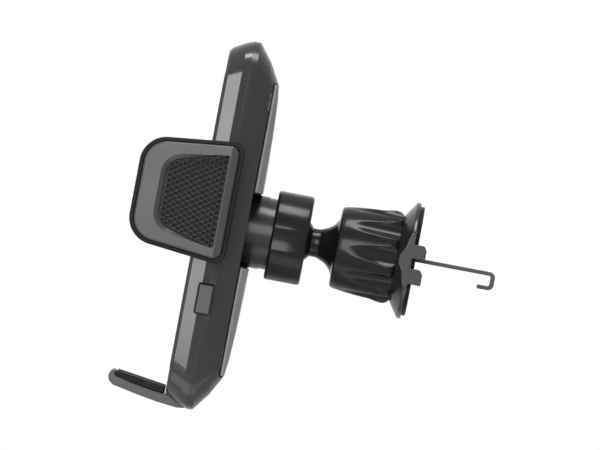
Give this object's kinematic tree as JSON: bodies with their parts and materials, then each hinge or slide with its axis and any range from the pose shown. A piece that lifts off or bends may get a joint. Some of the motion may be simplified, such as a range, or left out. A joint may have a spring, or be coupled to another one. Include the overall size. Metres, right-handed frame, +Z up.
{
  "type": "air vent phone holder",
  "caption": "Phone holder for a car air vent: a tall cradle with spring arms and a pull-down foot, on a ball joint with a fluted knob that draws a steel hook tight.",
  "frame": {"origin": "on the axis of the ball joint and knob, at the face of the rubber ring that rests on the vent", "axes": "+Y out of the base along the hook, away from the phone; +Z up along the cradle; +X across the cradle towards the arm with the release button"},
  "size_m": [0.073, 0.1231, 0.1242],
  "materials": {
    "cover_front": "fine satin grain",
    "cover_rear": "soft gloss",
    "panel": "fine satin grain",
    "arm_plastic": "fine satin grain",
    "soft_rubber": "matte",
    "inlay_rubber": "moulded oval dimples",
    "joint_plastic": "soft gloss",
    "base_plastic": "satin",
    "inner_plastic": "smooth",
    "inner_dark": "smooth",
    "steel": "brushed",
    "brass": "turned"
  },
  "bodies": {
    "vent_base": {"base_flange": "base_plastic", "base_ring": "soft_rubber"},
    "hook": {"hook_shank": "steel", "hook_strip": "steel", "hook_rivet": "steel"},
    "knob": {"ball_knob": "joint_plastic", "thread_insert": "brass"},
    "friction_cup": {"friction_cup": "inner_plastic"},
    "collet": {"collet": "inner_dark"},
    "cradle": {"rear_cover": "cover_rear", "front_cover": "cover_front", "front_pad": "soft_rubber", "back_panel_upper": "panel", "back_panel_lower": "panel", "chassis": "inner_dark", "pinion_screw": "steel"},
    "lock_nut": {"lock_nut": "joint_plastic"},
    "pinion": {"pinion": "inner_plastic"},
    "arm_right": {"rack_right": "inner_dark", "arm_right": "arm_plastic", "arm_rim_right": "soft_rubber", "arm_inlay_right": "inlay_rubber", "grip_pad_right": "soft_rubber"},
    "arm_left": {"rack_left": "inner_dark", "arm_left": "arm_plastic", "arm_rim_left": "soft_rubber", "arm_inlay_left": "inlay_rubber", "grip_pad_left": "soft_rubber"},
    "release_button": {"release_button": "arm_plastic"},
    "foot": {"foot": "arm_plastic", "foot_pad_right": "soft_rubber", "foot_pad_left": "soft_rubber"}
  },
  "joints": [
    {"name": "knob_turn", "type": "hinge", "parent": "vent_base", "child": "knob", "pos_m": [0, -0.01, 0], "axis": [0, 1, 0], "range_deg": [0, 540]},
    {"name": "hook_draw", "type": "slide", "parent": "vent_base", "child": "hook", "axis": [0, -1, 0], "range_m": [0, 0.006]},
    {"name": "cradle_tilt", "type": "hinge", "parent": "knob", "child": "friction_cup", "pos_m": [0, -0.0422, 0], "axis": [1, 0, 0], "range_deg": [-14, 14]},
    {"name": "cradle_pan", "type": "hinge", "parent": "friction_cup", "child": "collet", "pos_m": [0, -0.0422, 0], "axis": [0, 0, 1], "range_deg": [-14, 14]},
    {"name": "cradle_spin", "type": "hinge", "parent": "collet", "child": "cradle", "pos_m": [0, -0.0422, 0], "axis": [0, 1, 0], "continuous": true},
    {"name": "nut_turn", "type": "hinge", "parent": "cradle", "child": "lock_nut", "pos_m": [0, -0.0422, 0], "axis": [0, 1, 0], "range_deg": [0, 180]},
    {"name": "arm_slide_right", "type": "slide", "parent": "cradle", "child": "arm_right", "axis": [1, 0, 0], "range_m": [0, 0.016]},
    {"name": "arm_slide_left", "type": "slide", "parent": "cradle", "child": "arm_left", "axis": [-1, 0, 0], "range_m": [0, 0.016]},
    {"name": "pinion_turn", "type": "hinge", "parent": "cradle", "child": "pinion", "pos_m": [0, -0.065, 0.0075], "axis": [0, 1, 0], "range_deg": [0, 115]},
    {"name": "button_press", "type": "slide", "parent": "cradle", "child": "release_button", "axis": [-1, 0, 0], "range_m": [0, 0.0015], "stiffness_N_per_m": 400, "springref_m": -0.001},
    {"name": "foot_slide", "type": "slide", "parent": "cradle", "child": "foot", "axis": [0, 0, -1], "range_m": [0, 0.012]}
  ],
  "couplings": [
    {"joint": "hook_draw", "follows": "knob_turn", "m_per_rad": 0.0006366},
    {"joint": "arm_slide_left", "follows": "arm_slide_right", "ratio": 1},
    {"joint": "pinion_turn", "follows": "arm_slide_right", "rad_per_m": 125}
  ]
}
